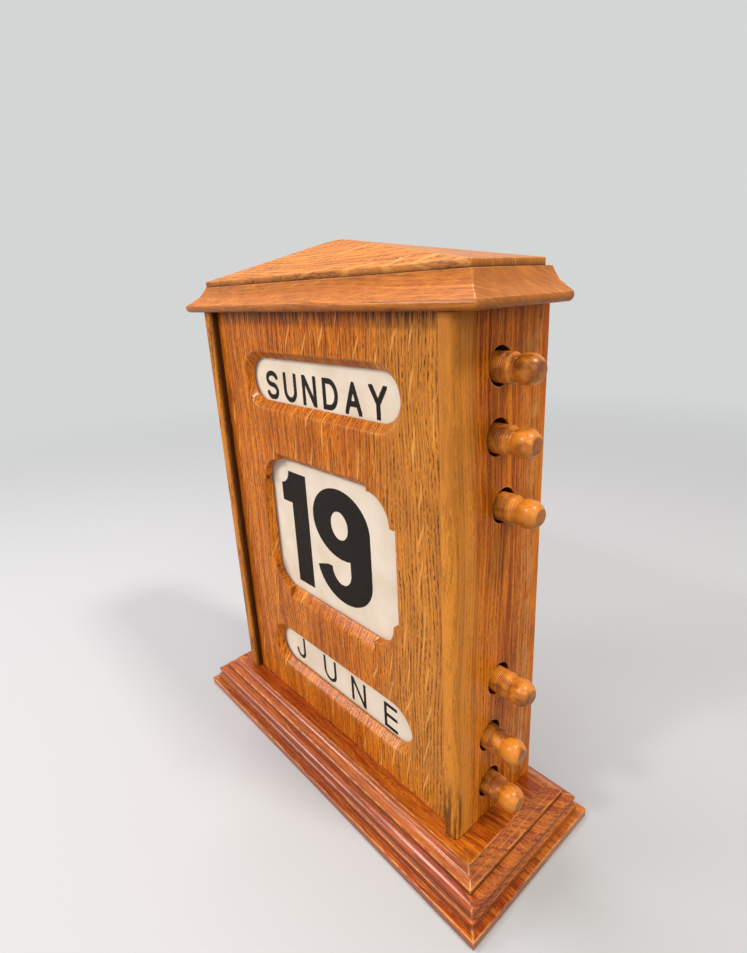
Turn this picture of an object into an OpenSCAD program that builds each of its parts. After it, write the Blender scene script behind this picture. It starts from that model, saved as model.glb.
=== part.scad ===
// Perpetual desk calendar: an oak case with a moulded base, a moulded cornice
// and a low hipped roof. Three printed bands show the weekday, the date and the
// month behind bevelled windows, and each band winds between two rollers that
// are turned by knobs on the right side.
// X runs to the right, Y to the back and Z up. The origin is the middle of the
// underside of the base.

/* [Case] */
// Width of the case across its two side boards
case_w = 194; // [180:1:230]
// Height of the case from the base to the underside of the cornice
case_h = 245.5; // [220:0.5:300]
// Depth of the side boards
side_d = 54.7; // [50:0.1:80]
// Thickness of the side boards
side_t = 9; // [7:0.5:11]
// Radius of the rounded front arrises of the side boards
side_round = 2.8; // [1:0.1:3]
// Thickness of the planted back board
back_t = 5.6; // [4:0.1:10]
// Thickness of the front panel
panel_t = 4.5; // [3.5:0.1:6]
// Set-back of the front panel behind the front edges of the sides
panel_recess = 4.8; // [3:0.1:7]
// Depth of the grooves in the sides that hold the front panel
groove_deep = 3; // [2:0.1:4]

/* [Base moulding] */
// Height of the square plinth edge
plinth_h = 4.6; // [3:0.1:12]
// Width of the ledge on top of the plinth edge
plinth_ledge = 3.6; // [2:0.1:6]
// Height of the upright step above the ledge
step_h = 3.7; // [2:0.1:8]
// Width of the small cove above the step
low_cove_w = 1.4; // [0.8:0.1:3]
// Height of the small cove above the step
low_cove_h = 2.3; // [1:0.1:4]
// Radius of the half-round bead
bead_r = 2.9; // [2:0.1:4]
// Width of the quirk between the bead and the fillet
quirk_w = 2.1; // [1:0.1:4]
// Depth of the quirk below the top of the bead
quirk_deep = 0.4; // [0.1:0.1:1]
// Height of the upright fillet behind the quirk
fillet_h = 2.4; // [1:0.1:5]
// Width of the slope on top of the fillet
slope_w = 2.9; // [1:0.1:5]
// Height of the slope on top of the fillet
slope_h = 1.7; // [0.5:0.1:4]
// Width of the upper cove, which meets the flat top
top_cove_w = 2.8; // [1:0.1:6]
// Height of the upper cove
top_cove_h = 3.3; // [1:0.1:6]
// Flat of the base left bare beside each side board
side_ledge = 11.5; // [4:0.1:20]
// Flat of the base left bare in front of the side boards
front_ledge = 4.8; // [2:0.1:20]
// Flat of the base left bare behind the back board
rear_ledge = 0.1; // [0:0.1:20]

/* [Cornice and roof] */
// Thickness of the cornice board
cornice_t = 13.8; // [12:0.1:20]
// Overhang of the cornice past each side board
cornice_side = 13.2; // [8:0.1:20]
// Overhang of the cornice in front of the side boards
cornice_front = 4.2; // [1:0.1:10]
// Radius of the rounded lower nose of the cornice
nose_r = 2.6; // [1.5:0.1:4]
// Width of the sloping band above the nose
band_slope_w = 6.5; // [3:0.1:7]
// Height of the sloping band above the nose
band_slope_h = 5.7; // [3:0.1:7]
// Width of the shallow cove under the roof
cornice_cove_w = 3.4; // [2:0.1:6]
// Overhang of the cornice behind the side boards
cornice_rear = 1; // [0:0.1:4]
// Flat of the cornice left bare at each end of the roof slab
roof_side_ledge = 0.8; // [0:0.1:4]
// Distance of the roof slab in front of the back edge of the cornice
roof_rear_ledge = 3.9; // [0:0.1:6]
// Height of the upright rim of the roof slab
roof_rim = 3; // [1:0.1:6]
// Rise of the roof from its rim to its peak
roof_rise = 15.3; // [6:0.1:30]

/* [Windows] */
// Width of the weekday window
day_w = 120.4; // [60:0.2:126]
// Height of the weekday window
day_h = 23.5; // [14:0.1:28]
// Width of the date window
date_w = 107.2; // [60:0.2:126]
// Height of the date window
date_h = 82.4; // [60:0.2:90]
// Radius of the plain corners of the date window
date_corner = 15; // [8:0.1:25]
// Width of the month window
month_w = 121; // [60:0.2:126]
// Height of the month window
month_h = 22.7; // [14:0.1:28]
// Share of the panel's bare height that lies above the weekday window, in percent
top_share = 21.25; // [19:0.25:24]
// Share that lies between the weekday window and the date window, in percent
upper_share = 28.25; // [26:0.25:31]
// Share that lies between the date window and the month window, in percent
lower_share = 30.5; // [28:0.25:32]
// Width of the bevel on the front of the windows
bevel_w = 4; // [2:0.1:5]
// Width of the broad bevel below the date window
sill_w = 6.2; // [3:0.1:8]
// Square edge left behind the bevels
bevel_land = 0.5; // [0.3:0.1:1.5]

/* [Bands] */
// Width of the printed bands
band_w = 136; // [130:1:144]
// Thickness of the linen-backed paper
band_t = 0.2; // [0.15:0.05:0.3]
// Space between the back of the front panel and the paper
band_gap = 1.25; // [0.8:0.05:2]
// Length of band that one weekday takes
day_pitch = 30; // [28:1:36]
// Length of band that one date takes
date_pitch = 80; // [79:1:84]
// Length of band that one month takes
month_pitch = 30; // [28:1:36]
// Length of blank band at each end, wound on its roller
leader = 60; // [40:5:100]

/* [Rollers] */
// Diameter of the roller dowels
roller_dia = 11; // [9:0.2:12]
// Diameter of the journals at the roller ends
journal_dia = 8; // [7:0.2:8.6]
// Thickness of the bearing battens inside the sides
batten_t = 8; // [6:0.1:9]
// Depth of the bearing battens from front to back
batten_d = 30; // [28:0.5:34]
// Thickness of the guide boards behind the bands
guide_t = 3; // [2.4:0.1:3.2]
// Overlap of the weekday and month guide boards past the edges of their windows
short_guide_lap = 4.9; // [4:0.1:5.4]
// Overlap of the date guide board past the edges of its window
date_guide_lap = 6.8; // [5:0.1:8]
// Height of the upper weekday roller above the top of its window
day_up = 2.2; // [1:0.1:4]
// Depth of the lower weekday roller below the bottom of its window
day_down = 2.6; // [1:0.1:4]
// Height of the upper date roller above the top of its window
date_up = -0.4; // [-1:0.1:2]
// Depth of the lower date roller below the bottom of its window
date_down = 5.4; // [1:0.1:6]
// Height of the upper month roller above the top of its window
month_up = 0.6; // [0:0.1:6]
// Depth of the lower month roller below the bottom of its window
month_down = 5; // [1:0.1:6]
// Distance of the upper weekday roller behind its guide board
day_up_back = 14.1; // [8:0.1:16]
// Distance of the lower weekday roller behind its guide board
day_down_back = 13.4; // [8:0.1:16]
// Distance of the upper date roller behind its guide board
date_up_back = 18.1; // [13:0.1:20]
// Distance of the lower date roller behind its guide board
date_down_back = 17.3; // [11:0.1:20]
// Distance of the upper month roller behind its guide board
month_up_back = 11.5; // [8:0.1:16]
// Distance of the lower month roller behind its guide board
month_down_back = 11.4; // [8:0.1:16]

/* [Knobs] */
// Space all round a knob's collar in its hole through the right side
collar_gap = 1.7; // [1:0.1:2.4]
// Rise of those holes above the roller axes
hole_rise = 0.4; // [0:0.1:0.8]
// Diameter of the collar of a knob
collar_dia = 12.4; // [11.6:0.1:13]
// Length of the collar that stands out of the side
collar_out = 3.2; // [1:0.1:5]
// Length of the ring between the collar and the neck
ring_len = 3.2; // [1.5:0.1:4]
// Depth of the fine grooves round the knob
ring_groove = 0.35; // [0.2:0.05:0.6]
// Diameter of the neck of a knob
neck_dia = 10.8; // [8:0.1:11]
// Diameter of the egg-shaped ball of a knob
ball_dia = 12.4; // [12:0.1:15]
// Half-length of the ball on the side towards the case
ball_in = 8; // [6:0.1:10]
// Distance of the widest part of the ball from the side
ball_out = 12.8; // [12:0.1:18]
// Diameter of the flat on the end of a knob
facet_dia = 6.4; // [1:0.1:8]
// Diameter of the tenon that holds a knob in its roller
tenon_dia = 5; // [4:0.1:6]
// Length of that tenon
tenon_len = 12; // [8:0.5:16]

/* [Fixings] */
// Shank diameter of the wood screws
screw_dia = 2.8; // [2:0.1:3]
// Head diameter of the wood screws
head_dia = 5.4; // [4.5:0.1:6]
// Length of the wood screws
screw_len = 22; // [18:0.5:23]
// Distance of the base and cornice screws from the front and back of the sides
screw_inset = 13.5; // [8:0.5:20]
// Distance of the outermost back screws from the ends of the case
back_screw_end = 18; // [15:0.5:24]
// Diameter of the panel pins in the guide boards
pin_dia = 1.4; // [1:0.1:2]
// Head diameter of the panel pins
pin_head = 2.4; // [2.2:0.1:3]
// Length of the panel pins
pin_len = 10; // [6:0.5:12]
// Distance of the pins in the weekday and month guide boards from their middle
short_pin_off = 5; // [3:0.1:7]
// Distance of the pins in the date guide board from its middle
date_pin_off = 28; // [10:0.5:34]

/* [Clearances] */
// Space between wooden parts that slide together
slip = 0.05; // [0.03:0.01:0.08]
// Radial clearance of the journals in their bearings
journal_gap = 0.05; // [0.02:0.01:0.09]
// End play of the rollers between the battens
end_play = 0.3; // [0.2:0.05:0.4]
// Space between a wound coil and the stretch of band that leaves it
coil_gap = 0.3; // [0.2:0.05:0.4]

/* [Hidden] */

$fn = 64;
// Steps in each curved stretch of a moulding
arc_steps = 8;
// Angle below level at which the bead of the base meets the low cove
bead_start = 40;
// Length by which a cut runs past the surface that it opens
over = 1;

// Levels
base_h = plinth_h + step_h + low_cove_h + bead_r * (1 + sin(bead_start))
    - quirk_deep + fillet_h + slope_h + top_cove_h;
case_top = base_h + case_h;
cornice_top = case_top + cornice_t;
bare_h = case_h - day_h - date_h - month_h;
day_mid = case_top - bare_h * top_share / 100 - day_h / 2;
date_mid = day_mid - bare_h * upper_share / 100 - (day_h + date_h) / 2;
month_mid = date_mid - bare_h * lower_share / 100 - (date_h + month_h) / 2;

// Plan of the case, from the run of the base moulding outwards
mould_run = plinth_ledge + low_cove_w + bead_r * cos(bead_start) + quirk_w
    + slope_w + top_cove_w;
base_w = case_w + 2 * (side_ledge + mould_run);
base_d = 2 * mould_run + front_ledge + side_d + back_t + rear_ledge;
side_front = -base_d / 2 + mould_run + front_ledge;
side_back = side_front + side_d;
side_in = case_w / 2 - side_t;
panel_front = side_front + panel_recess;
panel_back = panel_front + panel_t;
paper_front = panel_back + band_gap;
guide_front = paper_front + band_t + slip;
guide_back = guide_front + guide_t;
batten_in = side_in - batten_t;

// Cornice and roof
cornice_w = case_w + 2 * cornice_side;
cornice_y = side_front - cornice_front;
cornice_run = band_slope_w + cornice_cove_w;
cornice_back = side_back + cornice_rear;
cove_h = cornice_t - nose_r - band_slope_h;
// Angles below level between which the ellipse of the shallow cove is cut
cove_low = 38;
cove_high = 26;
roof_w = cornice_w - 2 * (cornice_run + roof_side_ledge);
roof_y = cornice_y + cornice_run;
roof_back = cornice_back - roof_rear_ledge;

// Entries wound on the upper roller (before) and on the lower roller (after),
// with the first weekday, the nineteenth and the sixth month on show
days_after = 6;
dates_before = 18;
dates_after = 12;
months_before = 5;
months_after = 6;

// One row for each roller: Y and Z of its axis, and the length of band wound on it
ROLLERS = [
    [guide_back + day_up_back, day_mid + day_h / 2 + day_up, leader],
    [guide_back + day_down_back, day_mid - day_h / 2 - day_down,
        leader + days_after * day_pitch],
    [guide_back + date_up_back, date_mid + date_h / 2 + date_up,
        leader + dates_before * date_pitch],
    [guide_back + date_down_back, date_mid - date_h / 2 - date_down,
        leader + dates_after * date_pitch],
    [guide_back + month_up_back, month_mid + month_h / 2 + month_up,
        leader + months_before * month_pitch],
    [guide_back + month_down_back, month_mid - month_h / 2 - month_down,
        leader + months_after * month_pitch]];

// Radius of a coil from the length of band wound on its roller
coil_in = roller_dia / 2 + slip;
function coil_r(i) = sqrt(pow(coil_in, 2) + ROLLERS[i][2] * band_t / PI);

// Points on an ellipse of half-axes a and b about (cx, cy), from angle g to angle h
function curve(cx, cy, a, b, g, h, steps = arc_steps) =
    [for (i = [0:steps]) let (t = g + (h - g) * i / steps)
        [cx + a * cos(t), cy + b * sin(t)]];

// Outline of an edge as [distance in from the outer face, height] points
low_cove_x = plinth_ledge + low_cove_w;
low_cove_z = plinth_h + step_h + low_cove_h;
bead_x = low_cove_x + bead_r * cos(bead_start);
bead_z = low_cove_z + bead_r * sin(bead_start);
quirk_z = bead_z + bead_r - quirk_deep;
slope_x = bead_x + quirk_w + slope_w;
BASE_EDGE = concat(
    [[0, 0], [0, plinth_h], [plinth_ledge, plinth_h]],
    curve(plinth_ledge, low_cove_z, low_cove_w, low_cove_h, -90, 0),
    curve(bead_x, bead_z, bead_r, bead_r, 180 + bead_start, 90),
    [[bead_x + quirk_w, quirk_z], [bead_x + quirk_w, quirk_z + fillet_h]],
    curve(slope_x, base_h, top_cove_w, top_cove_h, -90, 0));
cove_a = cornice_cove_w / (cos(cove_high) - cos(cove_low));
cove_b = cove_h / (sin(cove_low) - sin(cove_high));
CORNICE_EDGE = concat(
    curve(nose_r, nose_r, nose_r, nose_r, 270, 150),
    curve(band_slope_w - cove_a * cos(cove_low), cornice_t + cove_b * sin(cove_high),
        cove_a, cove_b, -cove_low, -cove_high));

// The same edge turned to face the low side and the high side of a board
function low_side(edge, from) = [for (p = edge) [from + p[0], p[1]]];
function high_side(edge, to) =
    [for (i = [len(edge) - 1:-1:0]) [to - edge[i][0], edge[i][1]]];

// Extrudes an outline drawn in Y and Z along X, from one X to another
module along_x(from, to) {
    translate([from, 0, 0])
        rotate([90, 0, 90])
            linear_extrude(to - from)
                children();
}

// Extrudes an outline drawn in X and Z along Y, from one Y to another
module along_y(from, to) {
    translate([0, to, 0])
        rotate([90, 0, 0])
            linear_extrude(to - from)
                children();
}

// A round bar or bore along X
module bar_x(y, z, r, from, to) {
    translate([from, y, z])
        rotate([0, 90, 0])
            cylinder(r = r, h = to - from);
}

// A countersunk screw down from the origin, or the hole for it, wider by grow
module screw(grow = 0) {
    shank_r = screw_dia / 2 + grow;
    head_r = head_dia / 2 + grow;
    tip = -screw_len - grow;
    rotate_extrude()
        polygon(concat(
            [[0, tip], [shank_r, tip], [shank_r, shank_r - head_r], [head_r, 0]],
            grow > 0 ? [[head_r, over], [0, over]] : [[0, 0]]));
}

/* Case */

// The back screws stand clear of the rollers, between one band's and the next's
BACK_SCREW_Z = [base_h + back_screw_end, (ROLLERS[4][1] + ROLLERS[3][1]) / 2, date_mid,
    (ROLLERS[2][1] + ROLLERS[1][1]) / 2, case_top - back_screw_end];
SIDE_MID_X = (side_in + case_w / 2) / 2;
END_SCREW_Y = [side_front + screw_inset, side_back - screw_inset];

module back_screw_set(grow = 0) {
    for (x = [-SIDE_MID_X, SIDE_MID_X], z = BACK_SCREW_Z)
        translate([x, side_back + back_t, z])
            rotate([-90, 0, 0])
                screw(grow);
}

module base_screw_set(grow = 0) {
    for (x = [-SIDE_MID_X, SIDE_MID_X], y = END_SCREW_Y)
        translate([x, y, base_h - screw_len / 2])
            mirror([0, 0, 1])
                screw(grow);
}

module cornice_screw_set(grow = 0) {
    for (x = [-SIDE_MID_X, SIDE_MID_X], y = END_SCREW_Y)
        translate([x, y, cornice_top])
            screw(grow);
}

module base_board() {
    color("peru")
        difference() {
            intersection() {
                along_x(-base_w / 2, base_w / 2)
                    polygon(concat(low_side(BASE_EDGE, -base_d / 2),
                        high_side(BASE_EDGE, base_d / 2)));
                along_y(-base_d / 2, base_d / 2)
                    polygon(concat(low_side(BASE_EDGE, -base_w / 2),
                        high_side(BASE_EDGE, base_w / 2)));
            }
            base_screw_set(slip);
            // Counterbores that sink the screw heads into the board
            for (x = [-SIDE_MID_X, SIDE_MID_X], y = END_SCREW_Y)
                translate([x, y, -over])
                    cylinder(d = head_dia + 2 * slip, h = base_h - screw_len / 2 + over);
        }
}

// A side board standing on the base, with its inner face towards -X
module side_board() {
    difference() {
        translate([side_in, side_front, base_h])
            linear_extrude(case_h)
                union() {
                    translate([0, side_round])
                        square([side_t, side_d - side_round]);
                    translate([side_round, 0])
                        square([side_t - 2 * side_round, 2 * side_round]);
                    for (x = [side_round, side_t - side_round])
                        translate([x, side_round])
                            circle(side_round);
                }
        translate([side_in - over, panel_front - slip, base_h - over])
            cube([groove_deep + over, panel_t + 2 * slip, case_h + 2 * over]);
    }
}

module left_side() {
    color("peru")
        difference() {
            mirror([1, 0, 0])
                side_board();
            back_screw_set(slip);
            base_screw_set(slip);
            cornice_screw_set(slip);
        }
}

module right_side() {
    color("peru")
        difference() {
            side_board();
            for (r = ROLLERS)
                bar_x(r[0], r[1] + hole_rise, collar_dia / 2 + collar_gap,
                    side_in - over, case_w / 2 + over);
            back_screw_set(slip);
            base_screw_set(slip);
            cornice_screw_set(slip);
        }
}

// A cut through the panel with half-round ends and a bevel all the way round
module slot_window(w, h, mid) {
    r = h / 2;
    deep = panel_t - bevel_land;
    translate([0, 0, mid]) {
        along_y(panel_front - over, panel_back + over)
            square([w - h, h], center = true);
        for (x = [r - w / 2, w / 2 - r])
            translate([x, panel_front - over, 0])
                rotate([-90, 0, 0]) {
                    cylinder(r = r, h = panel_t + 2 * over);
                    translate([0, 0, over])
                        cylinder(r1 = r + bevel_w, r2 = r, h = deep);
                    cylinder(r = r + bevel_w, h = over);
                }
        along_x(r - w / 2, w / 2 - r)
            polygon([[panel_front - over, -r - bevel_w], [panel_front, -r - bevel_w],
                [panel_front + deep, -r], [panel_front + deep, r],
                [panel_front, r + bevel_w], [panel_front - over, r + bevel_w]]);
    }
}

// A wedge that bevels one straight edge of a window: u across the edge, y inwards
module bevel_wedge(width, length) {
    deep = panel_t - bevel_land;
    rotate([0, 0, 90])
        rotate([90, 0, 0])
            linear_extrude(length, center = true)
                polygon([[-over, -over], [-over, width], [0, width],
                    [deep, 0], [deep, -over]]);
}

// The date window has plain sawn corners, and a bevel on each straight edge
module date_window() {
    w = date_w / 2;
    h = date_h / 2;
    r = date_corner;
    along_y(panel_front - over, panel_back + over)
        translate([0, date_mid])
            union() {
                square([date_w - 2 * r, date_h], center = true);
                square([date_w, date_h - 2 * r], center = true);
                for (x = [r - w, w - r], z = [r - h, h - r])
                    translate([x, z])
                        circle(r);
            }
    translate([0, panel_front, date_mid + h])
        bevel_wedge(bevel_w, date_w - 2 * r);
    translate([0, panel_front, date_mid - h])
        rotate([0, 180, 0])
            bevel_wedge(sill_w, date_w - 2 * r);
    for (s = [-1, 1])
        translate([s * w, panel_front, date_mid])
            rotate([0, s * 90, 0])
                bevel_wedge(bevel_w, date_h - 2 * r);
}

module front_panel() {
    reach = side_in + groove_deep - slip;
    color("sandybrown")
        difference() {
            translate([-reach, panel_front, base_h])
                cube([2 * reach, panel_t, case_h]);
            slot_window(day_w, day_h, day_mid);
            date_window();
            slot_window(month_w, month_h, month_mid);
        }
}

module back_board() {
    color("peru")
        difference() {
            translate([-case_w / 2, side_back, base_h])
                cube([case_w, back_t, case_h]);
            back_screw_set(slip);
        }
}

/* Top */

module cornice_board() {
    color("peru")
        translate([0, 0, case_top])
            difference() {
                intersection() {
                    along_x(-cornice_w / 2, cornice_w / 2)
                        polygon(concat(low_side(CORNICE_EDGE, cornice_y),
                            [[cornice_back, cornice_t], [cornice_back, 0]]));
                    along_y(cornice_y, cornice_back)
                        polygon(concat(low_side(CORNICE_EDGE, -cornice_w / 2),
                            high_side(CORNICE_EDGE, cornice_w / 2)));
                }
                translate([0, 0, -case_top])
                    cornice_screw_set(slip);
            }
}

module roof_slab() {
    rim = cornice_top + roof_rim;
    peak = rim + roof_rise;
    color("sandybrown")
        intersection() {
            along_y(roof_y, roof_back)
                polygon([[-roof_w / 2, cornice_top], [-roof_w / 2, rim], [0, peak],
                    [roof_w / 2, rim], [roof_w / 2, cornice_top]]);
            along_x(-roof_w / 2, roof_w / 2)
                polygon([[roof_y, cornice_top], [roof_y, rim],
                    [(roof_y + roof_back) / 2, peak],
                    [roof_back, rim], [roof_back, cornice_top]]);
        }
}

/* Bearings, guide boards and bands */

// One row for each guide board: its middle, its height and how far off its pins are
GUIDES = [
    [day_mid, day_h + 2 * short_guide_lap, short_pin_off],
    [date_mid, date_h + 2 * date_guide_lap, date_pin_off],
    [month_mid, month_h + 2 * short_guide_lap, short_pin_off]];

module guide_pin_set(grow = 0) {
    out = grow > 0 ? over : 0;
    for (g = GUIDES, x = [-1, 1], z = [-1, 1])
        translate([x * (side_in + batten_in) / 2, guide_front, g[0] + z * g[2]])
            rotate([-90, 0, 0])
                union() {
                    translate([0, 0, -out])
                        cylinder(d = pin_head + 2 * grow, h = pin_dia / 2 + out);
                    cylinder(d = pin_dia + 2 * grow, h = pin_len + grow);
                }
}

// The batten inside the right side; the left one is its mirror image
module bearing_batten() {
    difference() {
        translate([batten_in, guide_back, base_h])
            cube([batten_t, batten_d, case_h]);
        for (r = ROLLERS)
            bar_x(r[0], r[1], journal_dia / 2 + journal_gap, batten_in - over, side_in + over);
        guide_pin_set(slip);
    }
}

module left_bearing_batten() {
    color("burlywood")
        mirror([1, 0, 0])
            bearing_batten();
}

module right_bearing_batten() {
    color("burlywood") bearing_batten();
}

// A board with rounded top and bottom edges, planted on the front of the battens
module guide_board(i) {
    r = guide_t / 2;
    h = GUIDES[i][1];
    color("burlywood")
        difference() {
            translate([0, 0, GUIDES[i][0]])
                along_x(slip - side_in, side_in - slip)
                    union() {
                        translate([guide_front, r - h / 2])
                            square([guide_t, h - guide_t]);
                        for (z = [r - h / 2, h / 2 - r])
                            translate([guide_front + r, z])
                                circle(r);
                    }
            guide_pin_set(slip);
        }
}

// Direction, as an angle, of the normal of the line that lies on a circle of
// radius p at a and on a circle of radius q at b, on the side given by s
function tangent_normal(a, p, b, q, s) =
    atan2(b[1] - a[1], b[0] - a[0]) + s * acos((p - q) / norm(b - a));
function at(c, r, angle) = c + r * [cos(angle), sin(angle)];

// The stretch of band from one coil over the guide board to the other coil
module band(i) {
    edge = guide_t / 2 + slip;
    off = GUIDES[i][1] / 2 - guide_t / 2;
    top = [guide_front + guide_t / 2, GUIDES[i][0] + off];
    low = [guide_front + guide_t / 2, GUIDES[i][0] - off];
    upper = [ROLLERS[2 * i][0], ROLLERS[2 * i][1]];
    lower = [ROLLERS[2 * i + 1][0], ROLLERS[2 * i + 1][1]];
    upper_r = coil_r(2 * i) + coil_gap;
    lower_r = coil_r(2 * i + 1) + coil_gap;
    g = tangent_normal(top, edge, upper, upper_r, 1);
    h = tangent_normal(low, edge, lower, lower_r, -1) + 360;
    color("antiquewhite")
        along_x(-band_w / 2, band_w / 2)
            polygon(concat(
                [for (t = [0, band_t]) at(upper, upper_r + t, g)],
                [for (k = [0:arc_steps]) at(top, edge + band_t, g + (180 - g) * k / arc_steps)],
                [for (k = [0:arc_steps]) at(low, edge + band_t, 180 + (h - 180) * k / arc_steps)],
                [for (t = [band_t, 0]) at(lower, lower_r + t, h)],
                [for (k = [arc_steps:-1:0]) at(low, edge, 180 + (h - 180) * k / arc_steps)],
                [for (k = [arc_steps:-1:0]) at(top, edge, g + (180 - g) * k / arc_steps)]));
}

/* Rollers and knobs */

knob_in = side_in + end_play;

module roller(i) {
    y = ROLLERS[i][0];
    z = ROLLERS[i][1];
    color("tan")
        difference() {
            union() {
                bar_x(y, z, roller_dia / 2, end_play - batten_in, batten_in - end_play);
                bar_x(y, z, journal_dia / 2, end_play - side_in, knob_in);
            }
            bar_x(y, z, tenon_dia / 2 + slip, knob_in - tenon_len - end_play, knob_in + over);
        }
}

module coil(i) {
    y = ROLLERS[i][0];
    z = ROLLERS[i][1];
    color("antiquewhite")
        difference() {
            bar_x(y, z, coil_r(i), -band_w / 2, band_w / 2);
            bar_x(y, z, coil_in, -band_w / 2 - over, band_w / 2 + over);
        }
}

// Turned outline of a knob as [radius, distance from its foot] points
face = side_t - end_play;
collar_r = collar_dia / 2;
collar_end = face + collar_out;
ring_end = collar_end + ring_len;
ball_r = ball_dia / 2;
ball_mid = face + ball_out;
neck_r = neck_dia / 2;
neck_end = ball_mid - ball_in * sqrt(1 - pow(neck_r / ball_r, 2));
neck_mid = (ring_end + neck_end) / 2;
KNOB_OUTLINE = concat(
    [[0, 0], [collar_r, 0]],
    [[collar_r, collar_end - ring_groove], [collar_r - ring_groove, collar_end],
        [collar_r, collar_end + ring_groove]],
    [[collar_r, ring_end - ring_groove]],
    curve(collar_r - ring_groove, neck_mid, collar_r - ring_groove - neck_r,
        neck_mid - ring_end, 270, 180),
    curve(0, ball_mid, ball_r, ball_in, -acos(neck_r / ball_r), 0),
    curve(0, ball_mid, ball_r, ball_r, acos(facet_dia / ball_dia) / arc_steps,
        acos(facet_dia / ball_dia), arc_steps - 1),
    [[0, ball_mid + sqrt(pow(ball_r, 2) - pow(facet_dia / 2, 2))]]);

module knob(i) {
    color("chocolate")
        translate([knob_in, ROLLERS[i][0], ROLLERS[i][1]])
            rotate([0, 90, 0]) {
                rotate_extrude()
                    polygon(KNOB_OUTLINE);
                translate([0, 0, -tenon_len])
                    cylinder(d = tenon_dia, h = tenon_len + slip);
            }
}

/* Fixings */

module back_screws() {
    color("goldenrod") back_screw_set();
}

module base_screws() {
    color("silver") base_screw_set();
}

module cornice_screws() {
    color("silver") cornice_screw_set();
}

module guide_pins() {
    color("silver") guide_pin_set();
}

base_board();
left_side();
right_side();
front_panel();
back_board();
cornice_board();
roof_slab();
left_bearing_batten();
right_bearing_batten();
guide_board(0);  // day_guide_board
guide_board(1);  // date_guide_board
guide_board(2);  // month_guide_board
band(0);  // day_band
band(1);  // date_band
band(2);  // month_band
roller(0);  // day_upper_roller
roller(1);  // day_lower_roller
roller(2);  // date_upper_roller
roller(3);  // date_lower_roller
roller(4);  // month_upper_roller
roller(5);  // month_lower_roller
coil(0);  // day_upper_coil
coil(1);  // day_lower_coil
coil(2);  // date_upper_coil
coil(3);  // date_lower_coil
coil(4);  // month_upper_coil
coil(5);  // month_lower_coil
knob(0);  // day_upper_knob
knob(1);  // day_lower_knob
knob(2);  // date_upper_knob
knob(3);  // date_lower_knob
knob(4);  // month_upper_knob
knob(5);  // month_lower_knob
back_screws();
base_screws();
cornice_screws();
guide_pins();
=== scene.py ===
"""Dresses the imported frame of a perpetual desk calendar: an oak case with a moulded base
and cornice, a low hipped roof, three printed bands in bevelled windows, and six turned
knobs. Every piece is made where it stands, in metres, in the frame's own axes."""
import math

import bmesh
import bpy
import numpy as np
from mathutils import Matrix, Vector


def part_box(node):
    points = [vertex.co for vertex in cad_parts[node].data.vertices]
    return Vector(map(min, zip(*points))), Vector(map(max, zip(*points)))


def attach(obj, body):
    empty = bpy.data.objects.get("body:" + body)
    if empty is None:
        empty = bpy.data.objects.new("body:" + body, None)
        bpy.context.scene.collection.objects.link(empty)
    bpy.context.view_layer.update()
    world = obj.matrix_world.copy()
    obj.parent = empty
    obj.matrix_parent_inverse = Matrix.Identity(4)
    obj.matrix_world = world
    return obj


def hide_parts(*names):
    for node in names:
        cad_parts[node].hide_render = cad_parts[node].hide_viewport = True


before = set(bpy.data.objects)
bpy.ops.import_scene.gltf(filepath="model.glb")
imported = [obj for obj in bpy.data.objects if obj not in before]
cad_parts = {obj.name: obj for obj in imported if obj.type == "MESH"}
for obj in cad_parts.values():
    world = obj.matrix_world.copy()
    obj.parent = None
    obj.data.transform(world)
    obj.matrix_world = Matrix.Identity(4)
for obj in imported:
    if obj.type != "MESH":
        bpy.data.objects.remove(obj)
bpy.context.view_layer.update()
MM = 0.001

# -------- Camera
# A wide lens held close, above the calendar and off its right front corner, dipped
# towards it and tilted a little.
HEADING = math.radians(49.45)
DIP = math.radians(18.23)
TILT = math.radians(-3.07)


def placed(name, data):
    """A new object in the scene."""
    made = bpy.data.objects.new(name, data)
    bpy.context.scene.collection.objects.link(made)
    return made


camera = placed("camera", bpy.data.cameras.new("camera"))
camera.data.lens = 21.11
camera.data.shift_x = 0.0016
camera.data.shift_y = -0.0054
camera.data.clip_start = 0.01
camera.matrix_world = (
    Matrix.Translation((0.2277, -0.1802, 0.2770))
    @ Matrix.Rotation(HEADING, 4, "Z")
    @ Matrix.Rotation(math.pi / 2 - DIP, 4, "X")
    @ Matrix.Rotation(TILT, 4, "Z")
)
bpy.context.scene.camera = camera

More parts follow.
